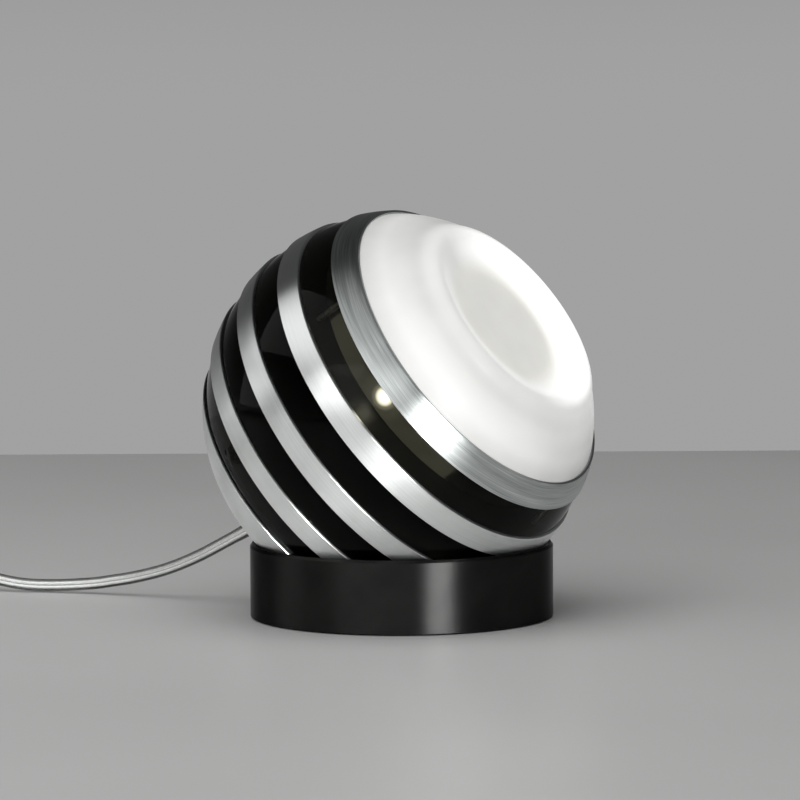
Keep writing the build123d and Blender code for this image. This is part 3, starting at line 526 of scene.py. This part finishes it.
def make_acrylic():
    """Smoked acrylic: glossy and nearly black, with what is lit behind it just showing."""
    material, tree, shader = start_material("black_acrylic")
    here = place_of(tree)
    dust = ramp(tree, noise(tree, here, 900, 2), [(0.62, 0.0), (0.75, 1.0)])
    cloud = noise(tree, here, 25, 2)
    smoke = ramp(tree, cloud, [(0.3, (0.085, 0.084, 0.062)), (0.7, (0.1, 0.098, 0.072))])
    drive_shader(tree, shader, Base_Color=smoke, Roughness=spread(tree, dust, 0.05, 0.11))
    set_shader(shader, IOR=1.15, Transmission_Weight=1.0)
    return material


def make_painted_bore_glow():
    """The front ring's frosted bore, with painted light: a dim olive painted glow for the chips'
    light, and a painted spot and halo where the small lamp shows.
    """
    material, tree, shader = start_material("acrylic_bore_painted_glow")
    here = place_of(tree)
    out = Vector((BORE_R * math.cos(PAINTED_SPOT_TURN), BORE_R * math.sin(PAINTED_SPOT_TURN), PAINTED_SPOT_HEIGHT))
    measured = add(tree, "ShaderNodeVectorMath", {0: here, 1: out * MM}, operation="DISTANCE")
    away = measured.outputs["Value"]
    fade = [(0.0, 1.0), (0.12, 0.8), (0.24, 0.25), (0.36, 0.03), (0.5, 0.004), (1.0, 0.0)]
    # Painted light: a bright spot and halo on the bore where the small lamp shows through the ring
    painted_halo = ramp(tree, product(tree, away, 1 / (PAINTED_SPOT_REACH * MM)), fade)
    cloud = noise(tree, here, 60, 2)
    # Painted light: a dim olive glow for the chips' light, fading out at its reach
    share = product(tree, away, 1 / (PAINTED_GLOW_REACH * MM))
    lit = ramp(tree, share, [(0.7, 1.0), (0.96, 0.9), (1.0, 0.0)])
    painted_dim_glow = product(tree, spread(tree, cloud, 0.09, 0.13), lit)
    drive_shader(
        tree,
        shader,
        Emission_Color=ramp(tree, painted_halo, [(0.0, (0.95, 0.92, 0.72)), (0.3, (1.0, 0.97, 0.84))]),
        Emission_Strength=total(tree, product(tree, painted_halo, 12.0), painted_dim_glow),
        Base_Color=ramp(tree, cloud, [(0.3, 0.04), (0.7, 0.06)]),
        Roughness=spread(tree, cloud, 0.55, 0.7),
    )
    return material


# The lens's glow by its share of the radius: everywhere, toward one side of the rim, on the
# crest's slope beyond the dish, and in the valley's shade
RING_GLOW = [
    (0.0, 0.40),
    (0.2, 0.39),
    (0.45, 0.41),
    (0.60, 0.44),
    (0.70, 0.44),
    (0.78, 0.38),
    (0.9, 0.27),
    (1.0, 0.13),
]
RIM_SHARES = [(0.72, 0.0), (0.92, 1.0)]
SLOPE_SHARES = [(0.34, 0.0), (0.54, 1.0), (0.62, 0.75), (0.69, 0.0)]
VALLEY_SHARES = [(0.64, 0.0), (0.76, 1.0), (0.92, 0.0)]
RIM_WAY, SLOPE_WAY, SLOPE_LIFT = (-0.906, -0.42), (0.97, -0.06), 0.38
RIM_GLOW, SLOPE_GLOW, VALLEY_SHADE, CLOUD_GLOW = 0.38, 0.62, 0.2, 0.09
GLOW_TONES = [
    (0.0, (1.0, 0.99, 0.97)),
    (0.40, (1.0, 0.99, 0.93)),
    (0.5, (1.0, 1.0, 0.99)),
    (1.0, (1.0, 0.995, 0.98)),
]


def along_way(tree, ways, way):
    """How far the way out from the axis goes along another."""
    return total(tree, product(tree, ways[0], way[0]), product(tree, ways[1], way[1]))


def make_lens_glow():
    """Opal glass, lit from inside: bright over the crest's inner slope, greyer in the dish."""
    material, tree, shader = start_material("opal_lens")
    here = place_of(tree)
    radius, _, ways = axis_parts(tree, here)
    share = product(tree, radius, 1 / (LENS_R * MM))
    toward = calc(tree, "MAXIMUM", along_way(tree, ways, RIM_WAY), 0.0)
    rim = product(tree, calc(tree, "POWER", toward, 2.0), ramp(tree, share, RIM_SHARES))
    beyond = total(tree, along_way(tree, ways, SLOPE_WAY), SLOPE_LIFT)
    slope = product(tree, calc(tree, "MAXIMUM", beyond, 0.0), ramp(tree, share, SLOPE_SHARES))
    back = calc(tree, "MAXIMUM", ways[1], 0.0)
    shade = product(tree, back, ramp(tree, share, VALLEY_SHARES), VALLEY_SHADE)
    lit = total(
        tree,
        ramp(tree, share, RING_GLOW),
        product(tree, rim, RIM_GLOW),
        product(tree, slope, SLOPE_GLOW),
    )
    glow = calc(tree, "SUBTRACT", lit, shade)
    drive_shader(
        tree,
        shader,
        Emission_Color=ramp(tree, share, GLOW_TONES),
        Emission_Strength=total(tree, glow, product(tree, noise(tree, here, 55, 2), CLOUD_GLOW)),
        Base_Color=ramp(tree, share, [(0.0, (0.43, 0.43, 0.415)), (1.0, (0.46, 0.46, 0.45))]),
        Roughness=spread(tree, noise(tree, here, 400, 3), 0.25, 0.36),
    )
    set_shader(shader, Specular_IOR_Level=0.1)
    bump(tree, shader, noise(tree, here, 2500, 2), 0.03, 0.00005)
    return material


def make_coat():
    """Satin black coat on a turned wall: a fine peel, and highlights that stretch up and down."""
    material, tree, shader = start_material("black_coat")
    here = place_of(tree)
    peel = noise(tree, here, 1600, 2, 0.4)
    cloud = noise(tree, here, 45, 3)
    drive_shader(
        tree,
        shader,
        Base_Color=ramp(tree, cloud, [(0.3, 0.022), (0.7, (0.03, 0.03, 0.029))]),
        Roughness=spread(tree, peel, 0.28, 0.36),
        Tangent=add(tree, "ShaderNodeCombineXYZ", {2: 1.0}).outputs[0],
    )
    set_shader(shader, Metallic=1.0, Specular_Tint=(0.5, 0.5, 0.5, 1), Anisotropic=0.8)
    bump(tree, shader, peel, 0.12, 0.00008)
    return material


def plastic(name, color, rough, grain=1200, depth=0.00005, **values):
    """A moulded material: slight mottling, a fine grain, and a roughness that follows it."""
    material, tree, shader = start_material(name)
    here = place_of(tree)
    fine = noise(tree, here, grain, 3)
    cloud = noise(tree, here, 80, 3)
    dark = tuple(c * 0.96 for c in color)
    light = tuple(min(1, c * 1.03) for c in color)
    drive_shader(
        tree,
        shader,
        Base_Color=ramp(tree, cloud, [(0.25, dark), (0.75, light)]),
        Roughness=spread(tree, fine, rough * 0.8, min(1, rough * 1.25)),
    )
    set_shader(shader, **values)
    bump(tree, shader, fine, 0.15, depth)
    return material


def make_felt():
    """Pressed felt: crossed fibres at two scales."""
    material, tree, shader = start_material("felt")
    here = place_of(tree)
    wanted = {"Vector": here, "Scale": (1.0, 0.25, 1.0)}
    stretched = add(tree, "ShaderNodeMapping", wanted).outputs[0]
    fibres = noise(tree, stretched, 2600, 5, 0.7)
    tufts = noise(tree, here, 500, 4, 0.6)
    both = product(tree, fibres, tufts)
    tones = [(0.1, 0.02), (0.5, (0.075, 0.075, 0.078))]
    drive_shader(tree, shader, Base_Color=ramp(tree, both, tones))
    set_shader(shader, Roughness=0.95, Sheen_Weight=0.3, Sheen_Roughness=0.5)
    bump(tree, shader, both, 0.6, 0.0003)
    return material


def make_board(name, base, trace):
    """A circuit board: solder mask with lighter traces and pads in a square grid."""
    material, tree, shader = start_material(name)
    here = place_of(tree)
    wanted = {
        "Vector": here,
        "Scale": 260.0,
        "Mortar Size": 0.04,
        "Color1": (*base, 1),
        "Color2": (*(c * 0.93 for c in base), 1),
        "Mortar": (*trace, 1),
    }
    grid = add(tree, "ShaderNodeTexBrick", wanted, offset=0.5)
    cloud = noise(tree, here, 120, 3)
    stains = ramp(tree, cloud, [(0.3, 0.3), (0.7, 1.0)])
    drive_shader(
        tree,
        shader,
        Base_Color=blend_colors(tree, 0.25, grid.outputs["Color"], stains, "MULTIPLY"),
        Roughness=spread(tree, cloud, 0.25, 0.45),
    )
    bump(tree, shader, grid.outputs["Fac"], 0.2, 0.00005)
    return material


def glowing(name, color, strength, rough):
    """A lit chip: a cloudy phosphor that glows."""
    material, tree, shader = start_material(name)
    here = place_of(tree)
    cloud = noise(tree, here, 700, 3)
    tone = ramp(tree, cloud, [(0.3, tuple(c * 0.9 for c in color)), (0.7, color)])
    drive_shader(
        tree,
        shader,
        Base_Color=tone,
        Emission_Color=tone,
        Emission_Strength=spread(tree, cloud, strength * 0.95, strength * 1.05),
        Roughness=spread(tree, cloud, rough, rough * 1.3),
    )
    return material


def make_clear_pvc():
    """The cord's clear sheath: glossy, with painted shade darkening it where it is seen edge on,
    and a faint haze.
    """
    material, tree, shader = start_material("clear_pvc")
    here = place_of(tree)
    haze = noise(tree, here, 150, 3)
    edge = add(tree, "ShaderNodeLayerWeight", {"Blend": 0.5}).outputs["Facing"]
    clear = ramp(tree, haze, [(0.3, (0.93, 0.95, 0.94)), (0.7, (0.97, 0.98, 0.97))])
    # Painted shade: the tint goes dark where the sheath is seen edge on, for the dark surroundings
    # its edges would show
    deep = ramp(tree, edge, [(0.1, 0.0), (0.36, 1.0)])
    drive_shader(
        tree,
        shader,
        Base_Color=blend_colors(tree, deep, clear, (0.12, 0.125, 0.12, 1)),
        Roughness=spread(tree, haze, 0.02, 0.09),
    )
    set_shader(shader, IOR=1.5, Transmission_Weight=1.0)
    bump(tree, shader, noise(tree, here, 300, 2), 0.05, 0.0002)
    return material


def make_strands():
    """Tinned copper strands, pale and a little uneven, with a faint painted glow that brightens
    them inside the sheath.
    """
    material, tree, shader = start_material("tinned_strands_painted_glow")
    here = place_of(tree)
    wires = noise(tree, here, 900, 2)
    tones = [(0.3, (0.80, 0.80, 0.79)), (0.7, (0.95, 0.95, 0.94))]
    drive_shader(
        tree, shader, Base_Color=ramp(tree, wires, tones), Roughness=spread(tree, wires, 0.26, 0.38)
    )
    # Painted light: a faint glow stands in for the light that the refracting sheath keeps off the
    # strands
    set_shader(shader, Metallic=0.35, Emission_Color=(0.9, 0.9, 0.88, 1), Emission_Strength=0.2)
    bump(tree, shader, wires, 0.1, 0.00005)
    return material


def make_floor_look():
    """The table: a plain pale grey, a little uneven."""
    material, tree, shader = start_material("floor")
    cloud = noise(tree, place_of(tree), 3, 2)
    tones = [(0.3, (0.56, 0.56, 0.555)), (0.7, (0.60, 0.60, 0.595))]
    drive_shader(tree, shader, Base_Color=ramp(tree, cloud, tones))
    set_shader(shader, Roughness=0.38)
    return material


make_camera()

looks = {
    "brushed_metal": make_bezel_metal(),
    "polished_metal": metal(
        "polished_metal", (0.91, 0.93, 0.92), 0.3,
        lines=5000, around=1.5, line_bump=0.000004, anisotropic=0.9,
    ),
    "black_acrylic": make_acrylic(),
    "opal_lens": make_lens_glow(),
    "black_coat": make_coat(),
    "weight_iron": plastic(
        "weight_iron", (0.14, 0.14, 0.14), 0.6, grain=700, depth=0.0003, Metallic=0.8
    ),
    "bare_plate": metal(
        "bare_plate", (0.66, 0.66, 0.65), 0.3,
        lines=3000, around=2.0, line_bump=0.00002, anisotropic=0.3,
    ),
    "screw_steel": plastic(
        "screw_steel", (0.56, 0.56, 0.56), 0.28, grain=1800, depth=0.00003, Metallic=1.0
    ),
    "felt": make_felt(),
    "soft_rubber": plastic(
        "soft_rubber", (0.022, 0.022, 0.022), 0.75, grain=1500, depth=0.0001
    ),
    "washer_plastic": plastic("washer_plastic", (0.8, 0.8, 0.77), 0.4),
    "white_board": make_board("white_board", (0.82, 0.82, 0.80), (0.62, 0.62, 0.60)),
    "driver_green": make_board("driver_green", (0.04, 0.2, 0.09), (0.12, 0.42, 0.2)),
    "phosphor": glowing("phosphor", (0.9, 0.78, 0.45), strength=0.3, rough=0.4),
    "amber_led": glowing("amber_led", (1.0, 0.95, 0.82), strength=60.0, rough=0.4),
    "driver_black": plastic("driver_black", (0.035, 0.035, 0.04), 0.5),
    "clear_pvc": make_clear_pvc(),
    "lead_white": plastic("lead_white", (0.78, 0.78, 0.76), 0.4),
    "switch_white": plastic(
        "switch_white", (0.80, 0.80, 0.78), 0.34, grain=900, depth=0.00004
    ),
    "rocker_black": plastic(
        "rocker_black", (0.02, 0.02, 0.02), 0.3, grain=900, depth=0.00004
    ),
    "plated_brass": plastic(
        "plated_brass", (0.78, 0.76, 0.70), 0.2, grain=2000, depth=0.00002, Metallic=1.0
    ),
    "tie_black": plastic("tie_black", (0.02, 0.02, 0.02), 0.45),
}
strands = make_strands()
painted_bore_glow = make_painted_bore_glow()

for row in frame["record"]["subparts"]:
    node = nodes[row["node"]]
    node.data.materials.clear()
    node.data.materials.append(looks[row["material_slot"]])


def stands_for(piece, body, slot, *replaced):
    """Let a piece stand in for CAD nodes, which are hidden. It rides on a body, or on none."""
    if body:
        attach(piece, body)
    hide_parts(*replaced)


def cord_piece(name, line, inside=()):
    """A stretch of the clear sheath and its two conductors, which may start further inside."""
    sheath = tube(name, line, CORD_R * MM, SHEATH_SIDES, looks["clear_pvc"], open_ends=True)
    cores = []
    for n, side in enumerate((-1, 1)):
        aside = side * CORE_ASIDE * MM
        whole = [*inside, *line]
        core = tube(f"{name}_core_{n}", whole, CORE_R * MM, CORE_SIDES, strands, aside)
        cores.append(core)
    return sheath, cores


# The cord leaves the relief, crosses to the base's side of the swivel, and goes into the switch.
# The coil beyond the switch ends in the plug.
first_line = smooth_line("first_line", EXIT_ROUTE + RUN_ROUTE)
joint = Vector(EXIT_ROUTE[-1]) * MM
cut = min(range(len(first_line)), key=lambda n: (first_line[n] - joint).length)
exit_line, run_line = first_line[: cut + 1], first_line[cut:]
coil_line = smooth_line("second_line", LINK_ROUTE + coil_points() + TAIL_ROUTE)
relief_line = smooth_line("relief_line", RELIEF_ROUTE)

exit_sheath, exit_cores = cord_piece("exit_cord", exit_line, relief_line[:-1])
for piece in [exit_sheath, *exit_cores]:
    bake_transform(piece)
stands_for(exit_sheath, None, "clear_pvc", "cord_exit")

run_sheath, run_cores = cord_piece("run_cord", run_line)
for piece in [run_sheath, *run_cores]:
    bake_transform(piece)
stands_for(run_sheath, None, "clear_pvc", "cord_run")

coil_sheath, coil_cores = cord_piece("coil_cord", coil_line)
for piece in coil_cores:
    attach(piece, "base")
stands_for(coil_sheath, "base", "clear_pvc", "cord_link", "cord_coil", "cord_tail")

# The bezel, turned from its CAD profile: its skin, and a seat for the lens inside it
bezel_skin = ball_arc(BEZEL_LOW + BEZEL_CHAMFER, BEZEL_HIGH - BEZEL_CHAMFER, BALL_R, BEZEL_STEPS)
bezel_profile = [
    (57.0, BEZEL_LOW),
    (bezel_skin[0][0] - BEZEL_CHAMFER, BEZEL_LOW),
    *bezel_skin,
    (bezel_skin[-1][0] - BEZEL_CHAMFER, BEZEL_HIGH),
    (61.55, BEZEL_HIGH),
    (61.4, 41.35),
    (61.4, 34.2),
    (57.0, 34.2),
]
bezel = lathe("bezel_ring", bezel_profile, looks["brushed_metal"])
stands_for(bezel, "head", "brushed_metal", "bezel")


def acrylic_ring(number, low, high, bore):
    """An acrylic ring, with ends in painted shade, and a bore with painted glow in the front one.
    """
    ease = RING_CLEAR + RING_EASE
    skin = ball_arc(low + ease, high - ease, ACRYLIC_R, RING_STEPS)
    profile = [
        (bore + BORE_CLEAR, low + RING_CLEAR),
        (skin[0][0] - RING_EASE, low + RING_CLEAR),
        *skin,
        (skin[-1][0] - RING_EASE, high - RING_CLEAR),
        (bore + BORE_CLEAR, high - RING_CLEAR),
    ]
    low_end, high_end, inside = 0, len(profile) - 2, len(profile) - 1
    # Painted shade: the ends, and the bores of the deeper rings, take the drivers' black for the
    # dim metal and core behind the acrylic
    dark = looks["driver_black"]
    others = {low_end: dark, high_end: dark, inside: painted_bore_glow if bore == BORE_R else dark}
    made = lathe(f"acrylic_band_{number}", profile, looks["black_acrylic"], other_sides=others)
    stands_for(made, "head", "black_acrylic", f"acrylic_ring_{number}")


for number, ring in enumerate(ACRYLIC_RINGS, start=1):
    acrylic_ring(number, *ring)

lens_profile = [LENS_FOOT, *catmull(LENS_SKIN, LENS_STEPS), *LENS_INSIDE]
lens = lathe("lens_glass", lens_profile, looks["opal_lens"], sharp=LENS_SHARP)
stands_for(lens, "head", "opal_lens", "lens")

# The strain relief: the gland's tapered tail, bent a little by the cord's weight
relief = tube(
    "relief_tail", relief_line, RELIEF_R * MM, RELIEF_SIDES, looks["clear_pvc"],
    tip=RELIEF_TIP_R * MM, open_ends=True,
)
stands_for(relief, "lead", "clear_pvc", "strain_relief")


def make_floor():
    """A flat sheet under the lamp, which the object's own files leave out."""
    corners = [LOOK * ahead + LOOK_RIGHT * aside for ahead, aside in FLOOR_CORNERS]
    mesh = bpy.data.meshes.new("floor")
    mesh.from_pydata(corners, [], [(0, 1, 2, 3)])
    mesh.materials.append(make_floor_look())
    link(bpy.data.objects.new("floor", mesh))


def make_world():
    """A plain grey room: a little darker above than at the horizon."""
    world = bpy.data.worlds.new("room")
    world.use_nodes = True
    tree = world.node_tree
    direction = add(tree, "ShaderNodeTexCoord").outputs["Generated"]
    height = add(tree, "ShaderNodeSeparateXYZ", {0: direction}).outputs[2]
    share = calc(tree, "MULTIPLY_ADD", height, 0.5, 0.5)
    greys = [(0.0, 0.30), (0.48, 0.36), (0.53, 0.16), (0.62, 0.07), (0.9, 0.05)]
    background = tree.nodes["Background"]
    tree.links.new(ramp(tree, share, greys), background.inputs["Color"])
    background.inputs["Strength"].default_value = 1.0
    bpy.context.scene.world = world


def softbox(name, azimuth, elevation, distance, size, brightness, glossy=True, diffuse=True):
    """A soft lamp round the ball: azimuth 0 is over the camera, and positive is to its right."""
    azimuth, elevation = math.radians(azimuth), math.radians(elevation)
    width, height = size
    level = LOOK_RIGHT * math.sin(azimuth) - LOOK * math.cos(azimuth)
    out = level * math.cos(elevation) + Vector((0, 0, math.sin(elevation)))
    data = bpy.data.lights.new(name, "AREA")
    data.shape = "RECTANGLE"
    data.size = width
    data.size_y = height
    data.energy = brightness * math.pi * width * height
    lamp = link(bpy.data.objects.new(name, data))
    lamp.location = HEAD + out * distance
    lamp.rotation_mode = "QUATERNION"
    lamp.rotation_quaternion = out.to_track_quat("Z", "Y")
    lamp.visible_glossy = glossy
    lamp.visible_diffuse = diffuse
    lamp.visible_camera = False


make_floor()
make_world()
softbox("key", -65, 42, distance=1.3, size=(2.0, 0.75), brightness=1.08)
softbox("side", -94, 8, distance=1.3, size=(0.6, 0.35), brightness=0.9)
softbox("front", -21, 18, distance=1.5, size=(1.55, 0.6), brightness=1.9)
softbox("strip", 28, 6, distance=1.2, size=(0.37, 0.4), brightness=28.0, diffuse=False)
softbox("top", 0, 78, distance=1.5, size=(1.6, 1.6), brightness=1.9, glossy=False)

bpy.context.scene.view_settings.view_transform = "Standard"
